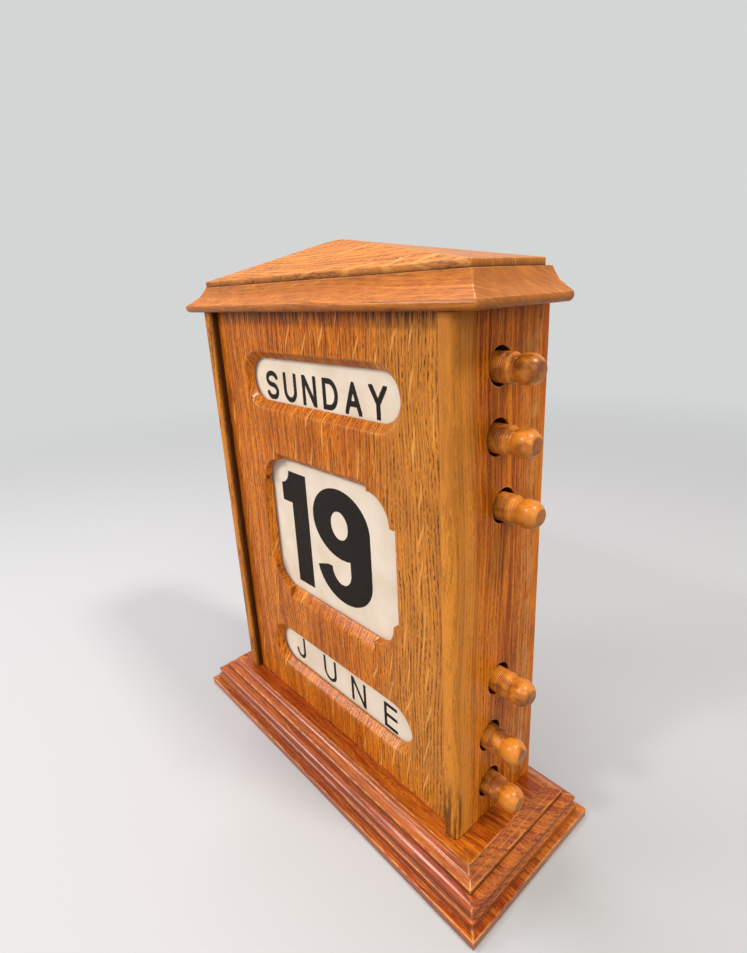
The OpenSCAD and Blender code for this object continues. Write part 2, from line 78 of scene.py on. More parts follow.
# -------- Floor and light
# A plain pale floor that fades into a plain backdrop, under a lamp high on the right and a
# little behind, a window low on the left front, a tube high on the left, a weak fill on the
# right, and a broad ceiling light in front with one bare bulb in it. What the floor throws
# back up is kept down to that of a duller table.
bpy.context.scene.view_settings.view_transform = "Standard"
FLOOR_COLOUR = (178, 181, 184)
TABLE_COLOUR = (128, 130, 132)
BACKDROP_COLOUR = (212, 214, 214)
FLOOR_REACH = 6.0
FADE = (0.35, 1.3)  # from where to where the floor fades into the backdrop
LAMP_AIM = Vector((0, 0, 0.14))
LAMP_AWAY = 1.5
LAMPS = {  # direction from the case, width along Y, height, watts, colour
    "high_lamp": ((0.50, 0.13, 0.86), 0.20, 0.20, 12.5, (1.0, 0.93, 0.84)),
    "window": ((-0.62, -0.70, 0.35), 0.45, 0.45, 9.5, (1.0, 0.95, 0.93)),
    "tube": ((-0.42, 0.00, 0.91), 0.95, 0.16, 14.0, (1.0, 0.92, 0.93)),
    "fill": ((0.82, -0.40, 0.40), 0.80, 0.80, 5.5, (1.0, 0.95, 0.88)),
    "ceiling_light": ((0.05, -0.66, 0.75), 0.80, 0.50, 4.0, (1.0, 0.96, 0.90)),
    "bulb": ((-0.07, -0.70, 0.71), 0.12, 0.12, 5.5, (1.0, 0.97, 0.94)),
}


def srgb(red, green, blue):
    """A colour from its screen values, 0 to 255: linear = ((c + 0.055) / 1.055) ^ 2.4."""
    c = np.array([red, green, blue]) / 255
    return (*(((c + 0.055) / 1.055) ** 2.4), 1.0)


def add(tree, kind, ins=None, **settings):
    """Adds a shader node. ins maps its inputs, by name or place, to sockets or values."""
    node = tree.nodes.new("ShaderNode" + kind)
    for name, value in settings.items():
        setattr(node, name, value)
    for key, value in (ins or {}).items():
        if isinstance(value, bpy.types.NodeSocket):
            tree.links.new(value, node.inputs[key])
        else:
            node.inputs[key].default_value = value
    return node


def calc(tree, operation, a, b=0.0):
    """A Math node's result."""
    return add(tree, "Math", {0: a, 1: b}, operation=operation).outputs[0]


def times(tree, a, b, plus=0.0, clamp=False):
    """a times b, plus a third value."""
    ins = {0: a, 1: b, 2: plus}
    return add(tree, "Math", ins, operation="MULTIPLY_ADD", use_clamp=clamp).outputs[0]


def remap(tree, value, low, high, to_low=0.0, to_high=1.0):
    """value eased from low..high to to_low..to_high, and level outside that range."""
    ins = {"Value": value, 1: low, 2: high, 3: to_low, 4: to_high}
    return add(tree, "MapRange", ins, interpolation_type="SMOOTHSTEP").outputs[0]


def mixed(tree, factor, a, b):
    """Colour a with colour b laid over it by factor."""
    return add(tree, "Mix", {0: factor, 6: a, 7: b}, data_type="RGBA").outputs[2]


def material(name, **values):
    """A new material's node tree and its Principled shader, with plain values set on it."""
    made = bpy.data.materials.new(name)
    made.use_nodes = True
    shader = made.node_tree.nodes["Principled BSDF"]
    for key, value in values.items():
        shader.inputs[key.replace("_", " ")].default_value = value
    return made, made.node_tree, shader


def seen(tree):
    """1 for a ray that shows a surface, straight or by way of a shiny or clear one, and 0 for
    a ray that only lights it."""
    path = add(tree, "LightPath").outputs
    straight, shiny, clear = [path[f"Is {way} Ray"] for way in ("Camera", "Glossy", "Transmission")]
    return calc(tree, "MAXIMUM", calc(tree, "MAXIMUM", straight, shiny), clear)


corners = [(-1, -1), (1, -1), (1, 1), (-1, 1)]
floor_mesh = bpy.data.meshes.new("floor")
floor_mesh.from_pydata([(FLOOR_REACH * x, FLOOR_REACH * y, 0) for x, y in corners], [], [range(4)])
floor = placed("floor", floor_mesh)
floor_paint, tree, shader = material("floor_paint", Roughness=0.8)
looked_at = seen(tree)
paint = mixed(tree, looked_at, srgb(*TABLE_COLOUR), srgb(*FLOOR_COLOUR))
tree.links.new(paint, shader.inputs["Base Color"])
place = add(tree, "TexCoord").outputs["Object"]
away = add(tree, "VectorMath", {0: place}, operation="LENGTH").outputs["Value"]
fade = times(tree, remap(tree, away, *FADE), looked_at)
distant = add(tree, "Emission", {"Color": srgb(*BACKDROP_COLOUR)})
floor_end = add(tree, "MixShader", {0: fade, 1: shader.outputs[0], 2: distant.outputs[0]})
tree.links.new(floor_end.outputs[0], tree.nodes["Material Output"].inputs["Surface"])
floor_mesh.materials.append(floor_paint)

world = bpy.data.worlds.new("studio")
bpy.context.scene.world = world
world.use_nodes = True
tree = world.node_tree
soft_light = add(tree, "Background", {"Color": (1.0, 0.98, 0.95, 1), "Strength": 0.34})
backdrop = add(tree, "Background", {"Color": srgb(*BACKDROP_COLOUR), "Strength": 1.0})
shown = add(tree, "MixShader", {0: seen(tree), 1: soft_light.outputs[0], 2: backdrop.outputs[0]})
tree.links.new(shown.outputs[0], tree.nodes["World Output"].inputs["Surface"])

for name, (direction, width, height, power, colour) in LAMPS.items():
    light = bpy.data.lights.new(name, "AREA")
    light.shape = "RECTANGLE"
    light.size = width
    light.size_y = height
    light.energy = power
    light.color = colour
    holder = placed(name, light)
    unit = Vector(direction).normalized()
    across = (Vector((0, 1, 0)) - unit * unit.y).normalized()
    facing = Matrix((across, unit.cross(across), unit)).transposed().to_4x4()
    holder.matrix_world = Matrix.Translation(LAMP_AIM + unit * LAMP_AWAY) @ facing
    holder.visible_camera = False

# -------- Base board
# One thick oak board that the case stands on. All four edges carry the same moulding: a
# square plinth, a step, a small cove, a flattened bead, a fillet, a slope and an upper
# cove. The side boards are screwed on from below, through four counterbores.
LIGHT_OAK = srgb(230, 132, 28)
DARK_OAK = srgb(148, 57, 6)
SAP_OAK = srgb(212, 146, 62)
FLECK_OAK = srgb(238, 172, 84)
# The worn colour also paints highlights along arrises, and the grime colour also paints shade in
# creases.
PORE_AND_SHADE_OAK = srgb(60, 22, 4)
# The pore colour also paints the shadow under the cornice.
WORN_AND_LIT_OAK = srgb(232, 168, 96)
GRIME_AND_SHADE = srgb(44, 20, 8)
PATINA = srgb(112, 48, 14)
RING = 2.0  # width of a year's ring
FLECK_LENGTH, FLECK_ROW = 21.0, 13.0
EASE = 0.4
HOLD = 1.1
WELD = 0.002  # points nearer than this are one point
BROAD = 60.0  # a face of more mm2 in a plane that is to be filled is taken out first
PLINTH_LEDGE, PLINTH_H, STEP_H = 3.6, 4.6, 3.7
LOW_COVE_W, LOW_COVE_H = 1.4, 2.3
BEAD_R, BEAD_H, BEAD_START = 2.9, 2.5, 40
QUIRK_W, FILLET_TOP, SLOPE_W = 2.1, 4.9, 2.9
TOP_COVE_W, TOP_COVE_H = 2.8, 3.3
FLAT_RUN = 20.0  # how far a moulding's outline runs in over the board's flat faces
SHANK_R, HEAD_R, HEAD_H = 1.45, 2.75, 1.3  # a screw hole and its sink
BASE_GRIP = 9.7  # wood between the head of a base screw and the case
SCREW_INSET = 13.5
X, Y, Z = 0, 1, 2


def stretched(tree, place, scale):
    """place times a scale for each of its axes."""
    return add(tree, "VectorMath", {0: place, 1: scale}, operation="MULTIPLY").outputs[0]


def in_mm(tree):
    """Object coordinates in mm."""
    place = add(tree, "TexCoord").outputs["Object"]
    return add(tree, "VectorMath", {0: place, "Scale": 1 / MM}, operation="SCALE").outputs[0]


def noise(tree, place, scale, detail=2.0, rough=0.5):
    """Noise from 0 to 1, scaled along each axis of place, or alike along all of them."""
    place = stretched(tree, place, np.broadcast_to(scale, 3).tolist())
    ins = {"Vector": place, "Scale": 1.0, "Detail": detail, "Roughness": rough}
    return add(tree, "TexNoise", ins).outputs["Fac"]


def node_group(name, inputs, outputs):
    """An empty shader group: its tree, and its inner input and output sockets by name. Place
    is a vector, Color a colour, and every other socket a number."""
    made = bpy.data.node_groups.new(name, "ShaderNodeTree")
    kinds = {"Place": "NodeSocketVector", "Color": "NodeSocketColor"}
    for way, keys in (("INPUT", inputs), ("OUTPUT", outputs)):
        for key in keys.split():
            kind = kinds.get(key, "NodeSocketFloat")
            made.interface.new_socket(key, in_out=way, socket_type=kind)
    return made, made.nodes.new("NodeGroupInput").outputs, made.nodes.new("NodeGroupOutput").inputs


def send(tree, sockets, **results):
    """Joins results to a shader's or a group's sockets by name."""
    for key, socket in results.items():
        tree.links.new(socket, sockets[key.replace("_", " ")])


def relief(tree, height, strength, depth):
    """The normal of a surface raised by height."""
    ins = {"Height": height, "Strength": strength, "Distance": depth}
    return add(tree, "Bump", ins).outputs[0]


# Varnished oak. Place is in mm along the grain, across the rings, and along the rings.
# The pores stand in one row to each year's ring. The ray flecks are pale S shapes that follow
# one another along the grain. Sap is 1 where the board runs into paler, greener wood.
oak, given, out = node_group("oak", "Place Tone Streak Fibre Rays Pores Sap",
                             "Color Roughness Height")
drift = noise(oak, given["Place"], (0.009, 0.02, 0.02), 1.0)
shift = add(oak, "CombineXYZ", {"Y": times(oak, drift, 14.0, -7.0)}).outputs[0]
grain = add(oak, "VectorMath", {0: given["Place"], 1: shift}, operation="ADD").outputs[0]
along, across = add(oak, "SeparateXYZ", {0: grain}).outputs[:2]
broad = noise(oak, grain, (0.003, 0.05, 0.03))
streaks = noise(oak, grain, (0.005, 0.30, 0.08), 3.0, 0.65)
fibre = noise(oak, grain, (0.07, 2.2, 2.2))
tone = times(oak, remap(oak, streaks, 0.36, 0.62), given["Streak"], given["Tone"])
tone = times(oak, remap(oak, broad, 0.3, 0.7), 0.28, tone)
tone = times(oak, remap(oak, fibre, 0.3, 0.7), given["Fibre"], tone, clamp=True)
colour = mixed(oak, tone, DARK_OAK, LIGHT_OAK)
colour = mixed(oak, times(oak, given["Sap"], 0.75), colour, SAP_OAK)
step = times(oak, noise(oak, grain, (0.01, 0.06, 0.05), 1.0), 3.0,
            times(oak, along, 1 / FLECK_LENGTH))
step = calc(oak, "FRACT", step)
sway = times(oak, noise(oak, grain, (0.015, 0.01, 0.05), 1.0), 1.2,
            times(oak, across, 1 / FLECK_ROW))
sway = calc(oak, "FRACT", times(oak, remap(oak, step, 0.0, 1.0), -0.27, sway))
aside = calc(oak, "ABSOLUTE", times(oak, sway, FLECK_ROW, -FLECK_ROW / 2))
taper = times(oak, step, times(oak, step, -3.2, 3.2))
present = times(oak, given["Sap"], 0.2, noise(oak, grain, (0.01, 0.06, 0.1), 1.0))
flecks = times(oak, remap(oak, calc(oak, "SUBTRACT", aside, taper), 0.0, -0.35),
              times(oak, remap(oak, present, 0.46, 0.58), given["Rays"]))
colour = mixed(oak, times(oak, flecks, 0.6), colour, FLECK_OAK)
bend = noise(oak, grain, (0.005, 0.04, 0.04), 1.0)
year = times(oak, bend, 4.0, times(oak, across, 1 / RING))
year = calc(oak, "ABSOLUTE", times(oak, calc(oak, "FRACT", year), 2.0, -1.0))
dense = remap(oak, noise(oak, grain, (0.05, 0.35, 0.2)), 0.35, 0.60, 0.5, 1.0)
row = times(oak, remap(oak, year, 0.3, 0.8, 0.3, 1.0), dense)
short = remap(oak, noise(oak, grain, (0.36, 3.5, 3.5), 1.0), 0.48, 0.56)
long = remap(oak, noise(oak, grain, (0.11, 2.7, 2.4), 1.0), 0.55, 0.62)
pores = times(oak, calc(oak, "MAXIMUM", short, long), row)
pores = times(oak, pores, times(oak, flecks, -0.8, 1.0))
pores = times(oak, pores, given["Pores"])
colour = mixed(oak, times(oak, pores, 0.9), colour, PORE_AND_SHADE_OAK)
rough = times(oak, fibre, 0.12, times(oak, pores, 0.22, 0.34))
height = times(oak, fibre, 0.22, times(oak, pores, -0.7))
height = times(oak, flecks, 0.4, height)
send(oak, out, Color=colour, Roughness=rough, Height=height)

# Handling wear and painted light: Arris is 1 on a ridge, where varnish rubs pale and a painted
# highlight runs along it, and -1 in a crease, which is painted dark as shade with a little wax
# and dust.
wear_and_painted_light, given, out = node_group("wear_and_painted_light", "Color Roughness Arris Place Amount", "Color Roughness")
patchy = remap(wear_and_painted_light, noise(wear_and_painted_light, given["Place"], 0.16, 3.0), 0.36, 0.62)
ridge = times(wear_and_painted_light, calc(wear_and_painted_light, "MAXIMUM", given["Arris"], 0.0), patchy)
ridge = times(wear_and_painted_light, ridge, given["Amount"])
crease = calc(wear_and_painted_light, "MAXIMUM", times(wear_and_painted_light, given["Arris"], -1.0), 0.0)
smear = remap(wear_and_painted_light, noise(wear_and_painted_light, given["Place"], 0.03, 4.0, 0.6), 0.5, 0.8)
# Pale on ridges: rubbed varnish and a painted highlight.
colour = mixed(wear_and_painted_light, times(wear_and_painted_light, ridge, 0.38), given["Color"], WORN_AND_LIT_OAK)
# Painted shade in creases, with a little dirt; then dust in smears.
colour = mixed(wear_and_painted_light, times(wear_and_painted_light, crease, 0.92), colour, GRIME_AND_SHADE)
colour = mixed(wear_and_painted_light, times(wear_and_painted_light, smear, 0.22), colour, GRIME_AND_SHADE)
rough = times(wear_and_painted_light, smear, 0.10, given["Roughness"])
send(wear_and_painted_light, out, Color=colour, Roughness=times(wear_and_painted_light, crease, 0.3, rough))


def oak_finish(name, along, across, start, tone=0.0, streak=0.5, rays=1.0, pores=1.0,
               ends=None, deep=1.0, lean=0.0, amount=1.0, sap=0.0, edge=None, clear=0.0,
               darker_bands=(), patina=0.0, coat=0.10, sheen=0.16):
    """Varnished oak with its grain along one axis and its rings across another. start, in
    mm, moves the board to its own place in the log. ends is the share of pores on end grain,
    deep the pace of the grain along the third axis, and lean how far the rings lean that way.
    amount is how far the arrises are rubbed pale, with a painted highlight along them. sap is
    the share of sapwood, which edge (axis, none, full) brings in from one side, leaving out the
    share clear of the pores. darker_bands darkens the wood in streaks where every one of its
    (axis, none, full) is full, and patina in brown patches. sheen is the varnish's roughness."""
    made, tree, shader = material(name, Coat_Weight=coat, Coat_Roughness=sheen,
                                  Specular_IOR_Level=0.07)
    mm = in_mm(tree)
    parts = add(tree, "SeparateXYZ", {0: mm}).outputs
    third = parts[3 - along - across]
    rings = times(tree, third, lean, parts[across])
    lined_up = add(tree, "CombineXYZ", {0: parts[along], 1: rings, 2: third}).outputs[0]
    lined_up = stretched(tree, lined_up, (1.0, 1.0, deep))
    place = add(tree, "VectorMath", {0: lined_up, 1: start}, operation="ADD").outputs[0]
    look = {"Place": place, "Tone": tone, "Streak": streak, "Fibre": 0.5, "Rays": rays,
            "Pores": pores, "Sap": sap}
    if ends is not None:
        end_grain = add(tree, "Attribute", attribute_name="ends").outputs["Fac"]
        cut_across = {"Pores": ends, "Fibre": 0.2, "Streak": 0.2, "Tone": tone + 0.4}
        for key, value in cut_across.items():
            look[key] = remap(tree, end_grain, 0.5, 0.7, look[key], value)
    if edge:
        axis, none_at, full_at = edge
        way = times(tree, noise(tree, mm, (0.06, 0.06, 0.01)), 24.0, -12.0)
        inside = remap(tree, calc(tree, "ADD", parts[axis], way), none_at, full_at)
        look["Sap"] = times(tree, inside, sap)
        look["Pores"] = times(tree, inside, -clear * pores, pores)
    wood = add(tree, "Group", look, node_tree=oak).outputs
    arris = add(tree, "Attribute", attribute_name="arris").outputs["Fac"]
    handled = {"Color": wood["Color"], "Roughness": wood["Roughness"], "Arris": arris,
               "Place": place, "Amount": amount}
    worn_and_shaded = add(tree, "Group", handled, node_tree=wear_and_painted_light).outputs
    colour = worn_and_shaded["Color"]
    if patina:
        patches = remap(tree, noise(tree, place, (0.12, 0.2, 0.2)), 0.42, 0.68, 0.0, patina)
        colour = mixed(tree, patches, colour, PATINA)
    # Streaks darker towards given levels; on the panel they paint the shadow under the cornice.
    if darker_bands:
        dark = remap(tree, noise(tree, place, (0.05, 0.5, 0.5)), 0.42, 0.60)
        for axis, none_at, full_at in darker_bands:
            dark = times(tree, dark, remap(tree, parts[axis], none_at, full_at))
        colour = mixed(tree, times(tree, dark, 0.75), colour, PORE_AND_SHADE_OAK)
    send(tree, shader.inputs, Base_Color=colour, Roughness=worn_and_shaded["Roughness"],
         Normal=relief(tree, wood["Height"], 0.35, 0.0003))
    return made


def mm_box(node):
    """A CAD node's low and high corners in mm."""
    return np.array(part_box(node)) / MM


def eased(outline, closed=False, ease=EASE, hold=HOLD, steps=5):
    """Rounds the sharp corners of an outline whose wood lies on its left. A corner P between
    A and B, both ease away, becomes (1-t)^2 A + 2t(1-t) P + t^2 B for t from 0 to 1, with a
    plain point hold away on each side. Returns the points and their arris marks: 1 on a
    right-angled ridge, -1 in such a crease, 0 on the plain points and smooth curves."""
    p = np.asarray(outline, float)
    p = p[np.linalg.norm(p - np.roll(p, 1, 0), axis=1) > 1e-6]
    before, after = np.roll(p, 1, 0) - p, np.roll(p, -1, 0) - p
    reach = [np.linalg.norm(side, axis=1, keepdims=True) for side in (before, after)]
    turn = np.arctan2(-before[:, 0] * after[:, 1] + before[:, 1] * after[:, 0],
                      -(before * after).sum(1))
    sharp = np.abs(turn) > math.radians(20)
    if not closed:
        sharp[[0, -1]] = False
    near = [side * np.minimum(ease / size, 0.35) for side, size in zip((before, after), reach)]
    far = [side * np.minimum(hold / size, 0.45) for side, size in zip((before, after), reach)]
    t = np.linspace(0, 1, steps)[None, :, None]
    bend = p[:, None] + (1 - t) ** 2 * near[0][:, None] + t ** 2 * near[1][:, None]
    run = np.concatenate([(p + far[0])[:, None], bend, (p + far[1])[:, None]], 1)
    run[~sharp] = p[~sharp][:, None]
    mark = np.zeros(run.shape[:2])
    mark[:, 1:-1] = np.clip(turn / math.radians(50), -1, 1)[:, None] * sharp[:, None]
    kept = np.repeat(sharp[:, None], run.shape[1], 1)
    kept[:, 0] = True
    return run[kept], mark[kept]


def lies_in(part, axis, level):
    """Whether a face or an edge lies in the plane at that level, within 0.003 mm."""
    return all(abs(point.co[axis] - level * MM) < 0.003 * MM for point in part.verts)


def piece(name, stacks, planes, finish, body, node, sharp=32, layer="arris", grain=None):
    """A closed solid. Each stack is an array (loops, points, 4) of places in mm and marks,
    which are kept under the layer's name. Neighbouring loops are joined by a strip of faces
    that closes round them, and the flat faces left open in each plane (axis, level) are
    filled, holes and all. With grain along an axis, each face is also marked by how squarely
    it cuts across that axis."""
    points, faces, base = [], [], 0
    for stack in stacks:
        loops, count = stack.shape[:2]
        index = base + np.arange(loops * count).reshape(loops, count)
        turned = np.roll(index, -1, 1)
        strips = np.stack([index[:-1], turned[:-1], turned[1:], index[1:]], -1)
        points.append(stack.reshape(-1, 4))
        faces.append(strips.reshape(-1, 4))
        base += loops * count
    points = np.concatenate(points)
    mesh = bpy.data.meshes.new(name)
    mesh.from_pydata((points[:, :3] * MM).tolist(), [], np.concatenate(faces).tolist())
    marks = mesh.attributes.new(layer, "FLOAT", "POINT").data
    marks.foreach_set("value", points[:, 3].astype(np.float32))
    solid = bmesh.new()
    solid.from_mesh(mesh)
    bmesh.ops.remove_doubles(solid, verts=solid.verts, dist=WELD * MM)
    bmesh.ops.dissolve_degenerate(solid, edges=solid.edges, dist=WELD / 2 * MM)
    for plane in planes:
        flat = [face for face in solid.faces if lies_in(face, *plane)]
        broad = [face for face in flat if face.calc_area() > BROAD * MM ** 2]
        bmesh.ops.delete(solid, geom=broad, context="FACES_ONLY")
        loose = [edge for edge in solid.edges if edge.is_wire and lies_in(edge, *plane)]
        bmesh.ops.delete(solid, geom=loose, context="EDGES")
        rim = [edge for edge in solid.edges if edge.is_boundary and lies_in(edge, *plane)]
        bmesh.ops.triangle_fill(solid, edges=rim, use_beauty=True)
    bmesh.ops.recalc_face_normals(solid, faces=solid.faces)
    solid.to_mesh(mesh)
    solid.free()
    mesh.polygons.foreach_set("use_smooth", [True] * len(mesh.polygons))
    mesh.set_sharp_from_angle(angle=math.radians(sharp))
    if grain is not None:
        facing = np.empty(3 * len(mesh.polygons), np.float32)
        mesh.polygons.foreach_get("normal", facing)
        ends = mesh.attributes.new("ends", "FLOAT", "FACE").data
        ends.foreach_set("value", np.abs(facing[grain::3]))
    mesh.materials.append(finish)
    made = placed(name, mesh)
    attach(made, body)
    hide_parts(node)


def stacked(x, y, z, mark):
    """A stack (loops, points, 4) of arrays that are spread to one shape."""
    return np.stack(np.broadcast_arrays(x, y, z, mark), -1)


def carried(path, normal, offset, level, axis, mark=0.0):
    """A stack of loops: point (i, j) = path j + normal j * offset(i, j), at level i along
    axis."""
    offset = np.broadcast_to(np.asarray(offset, float), (len(level), len(path)))
    stack = path + normal * offset[..., None]
    stack[..., axis] = np.asarray(level)[:, None]
    return stacked(*np.moveaxis(stack, -1, 0), mark)


def bore(centre, axis, profile, count=40):
    """A round hole, or a round bar, along an axis: circles of the profile's radii at its
    levels. centre is the other two coordinates."""
    angle = np.arange(count) * 2 * math.pi / count
    u, v = [i for i in (X, Y, Z) if i != axis]
    path, normal = np.zeros((count, 3)), np.zeros((count, 3))
    path[:, u], path[:, v] = centre
    normal[:, u], normal[:, v] = np.cos(angle), np.sin(angle)
    profile, mark = profile
    return carried(path, normal, profile[:, :1], profile[:, 1], axis, mark[:, None])


def rectangle(low, high):
    """The corners of a rectangle, anticlockwise from the low one."""
    return np.array([[low[0], low[1]], [high[0], low[1]], [high[0], high[1]], [low[0], high[1]]])


def ring_plan(low, high):
    """A rectangle with eased corners: its points, the way in from each (x, y) and its marks."""
    plan, mark = eased(rectangle(low, high), closed=True, ease=0.5, hold=1.0)
    middle = (np.asarray(low) + high) / 2
    return plan, np.sign(middle - plan), mark


def moulded(low, high, profile, mark, back=None):
    """An edge moulding carried round a board with mitred corners: ring i is the board's plan
    drawn in by profile i's inset, at its height. back gives other insets for the back."""
    plan, inward, corner = ring_plan(low, high)
    inset = profile[:, :1]
    deep = np.where(inward[None, :, 1] < 0, inset if back is None else back, inset)
    x, y = plan[:, 0] + inward[:, 0] * inset, plan[:, 1] + inward[:, 1] * deep
    mark, corner = mark[:, None], corner * 0.8
    return stacked(x, y, profile[:, 1:], np.where(np.abs(mark) > np.abs(corner), mark, corner))


def arc(cx, cy, a, b, start, end, steps=8):
    """Points on an ellipse of half-axes a and b about (cx, cy), from one angle to another."""
    angle = np.radians(np.linspace(start, end, steps + 1))
    return np.stack([cx + a * np.cos(angle), cy + b * np.sin(angle)], 1)


def edge_profile(points):
    """Eases a moulding's [inset, height] points, which run upwards with the wood behind."""
    flipped, mark = eased(np.asarray(points) * (-1, 1), ease=0.3, hold=0.8)
    return flipped * (-1, 1), mark


low, high = mm_box("base_board")
base_top = high[Z]
cove_x, cove_z = PLINTH_LEDGE + LOW_COVE_W, PLINTH_H + STEP_H + LOW_COVE_H
bead_x = cove_x + BEAD_R * math.cos(math.radians(BEAD_START))
bead_z = cove_z + BEAD_R * math.sin(math.radians(BEAD_START))
fillet_x = bead_x + QUIRK_W
profile, mark = edge_profile(np.concatenate([
    [(FLAT_RUN, 0), (0, 0), (0, PLINTH_H), (PLINTH_LEDGE, PLINTH_H)],
    arc(PLINTH_LEDGE, cove_z, LOW_COVE_W, LOW_COVE_H, -90, 0),
    arc(bead_x, bead_z, BEAD_R, BEAD_R, 180 + BEAD_START, 180, 4),
    arc(fillet_x, bead_z, QUIRK_W + BEAD_R, BEAD_H, 180, 90, 14)[1:],
    [(fillet_x, bead_z + FILLET_TOP)],
    arc(fillet_x + SLOPE_W, base_top, TOP_COVE_W, TOP_COVE_H, -90, 0),
    [(FLAT_RUN, base_top)]]))
# Little painted shade lies in the step, and much in the crease under the bead
mark[np.hypot(*(profile - (PLINTH_LEDGE, PLINTH_H)).T) < 1.2] *= 0.4
crease = np.hypot(*(profile - (cove_x, cove_z)).T) / 1.4 - 1
mark = np.where(crease < 0, np.minimum(mark, crease), mark)
side_low, side_high = mm_box("right_side")
side_mid = (side_low[X] + side_high[X]) / 2
screw_places = [(x, y) for x in (-side_mid, side_mid)
                for y in (side_low[Y] + SCREW_INSET, side_high[Y] - SCREW_INSET)]
sink_top = base_top - BASE_GRIP
counterbore = eased([(SHANK_R, base_top), (SHANK_R, sink_top), (HEAD_R, sink_top - HEAD_H),
                     (HEAD_R, 0)], ease=0.2, hold=0.5)
piece("moulded_base", [moulded(low[:2], high[:2], profile, mark)]
      + [bore(at, Z, counterbore, 24) for at in screw_places],
      [(Z, 0), (Z, base_top)],
      oak_finish("base_oak", X, Z, (310, 40, 12), tone=-0.4, streak=0.45, rays=0.0, pores=0.7,
                 ends=1.1, deep=0.3, lean=0.5, amount=1.3, patina=0.1, coat=0.85, sheen=0.2),
      "case", "base_board", grain=X)

# -------- Side boards
# Two 9 mm oak boards standing on the base, with rounded front arrises, a groove inside for
# the front panel and, in the right one, six holes that the rollers were put in through.
ROUND = 2.8
GROOVE, GROOVE_PLAY = 3.0, 0.05
# The dark lines along the top and the foot of each side are painted shade where it meets the base
# and the cornice.
SEAM = 0.7  # height of the dark line along the top and the foot
HOLE_R = 7.9
HOLE_RISE = 0.4
BANDS = ("day", "date", "month")
ENDS = ("upper", "lower")
panel_low, panel_high = mm_box("front_panel")


def side_stack(low, high, hand):
    """The plan of a side, with its groove, carried up from the base to the cornice."""
    inner, outer = (low[X], high[X]) if hand > 0 else (-high[X], -low[X])
    groove_front, groove_back = panel_low[Y] - GROOVE_PLAY, panel_high[Y] + GROOVE_PLAY
    ring = np.concatenate([
        [(outer, high[Y]), (inner, high[Y]), (inner, groove_back), (inner + GROOVE, groove_back),
         (inner + GROOVE, groove_front), (inner, groove_front)],
        arc(inner + ROUND, low[Y] + ROUND, ROUND, ROUND, 180, 270, 10),
        arc(outer - ROUND, low[Y] + ROUND, ROUND, ROUND, 270, 360, 10)])
    plan, mark = eased(ring, closed=True, hold=0.8)
    level = np.array([low[Z], low[Z] + SEAM, high[Z] - SEAM, high[Z]])[:, None]
    # Painted shade on the inner face in front of the panel, fading round the front arris.
    shade = np.clip(1 - (plan[:, X] - inner) / 1.6, 0, 1) * (plan[:, Y] < panel_low[Y])
    mark = np.where(shade > 0, -shade, mark)
    # The top and the foot are painted with shade.
    seam = np.array([-1.0, 0.0, 0.0, -1.0])[:, None]
    return stacked(plan[:, X] * hand, plan[:, Y], level, np.where(seam < 0, seam, mark))


rollers = {(band, end): mm_box(f"{band}_{end}_roller") for band in BANDS for end in ENDS}
axes = {key: tuple((low + high)[Y:] / 2) for key, (low, high) in rollers.items()}
low, high = mm_box("right_side")
hole, mark = eased([(HOLE_R + 2, high[X]), (HOLE_R, high[X]), (HOLE_R, low[X]),
                    (HOLE_R + 2, low[X])])
# The walls of the holes are marked as creases, which paints them with shade.
mark = np.where(hole[:, 1] < high[X] - 0.5, -1.0, mark)
holes = [bore((y, z + HOLE_RISE), X, (hole, mark), 56) for y, z in axes.values()]
# The right side darkens in streaks towards the foot of its front edge.
right_oak = oak_finish(
    "right_oak", Z, Y, (140, 230, 55), tone=-0.15, streak=0.7, rays=0.0, pores=0.8, deep=0.8,
    sap=0.7, edge=(Y, -10, -22), clear=0.5, darker_bands=((Y, -22, -25), (Z, 62, 38)))
left_oak = oak_finish("left_oak", Z, Y, (610, 90, 20), rays=0.6, sap=0.6, edge=(Y, -8, -24))
planes = [(Z, low[Z]), (Z, high[Z])]
piece("right_side_board", [side_stack(low, high, 1)] + holes,
      planes + [(X, high[X]), (X, low[X])], right_oak, "case", "right_side")
low, high = mm_box("left_side")
piece("left_side_board", [side_stack(low, high, -1)], planes, left_oak,
      "case", "left_side")

# -------- Front panel
# A thin quarter-sawn oak panel let into the grooves. The weekday and month show through
# round-ended slots with a bevel all round, and the date through a large window with plain
# sawn corners and a bevel on each straight edge, the lowest one broader.
BEVEL = 4.0
SILL = 6.2
LAND = 0.5
CORNER_R = 15.0
FACE_RUN, BACK_RUN = 3.0, 2.0  # how far a window's outline runs out over the panel's faces
WINDOWS = {  # width, height, level of the middle
    "day": (120.4, 23.5, 231.27),
    "date": (107.2, 82.4, 145.30),
    "month": (121.0, 22.7, 57.09),
}


def window_path(width, height, middle, radius, steps=14):
    """A rounded rectangle in X and Z: its points, its outward normals, and the side that each
    point is on (0 on a corner, 1 to 4 for right, top, left and bottom). Each corner's two
    ends stand twice, once for the corner and once for the straight."""
    w, h = width / 2 - radius, height / 2 - radius
    points, normals, sides = [], [], []
    for i, (x, z) in enumerate([(w, h), (-w, h), (-w, -h), (w, -h)]):
        angle = np.radians(np.linspace(90 * i, 90 * i + 90, steps + 1))
        angle = angle[[0, *range(steps + 1), steps]]
        way = np.stack([np.cos(angle), 0 * angle, np.sin(angle)], 1)
        points.append(way * radius + (x, 0, z + middle))
        normals.append(way)
        sides.append([i + 1] + [0] * (steps + 1) + [(i + 1) % 4 + 1])
    return np.concatenate(points), np.concatenate(normals), np.concatenate(sides)


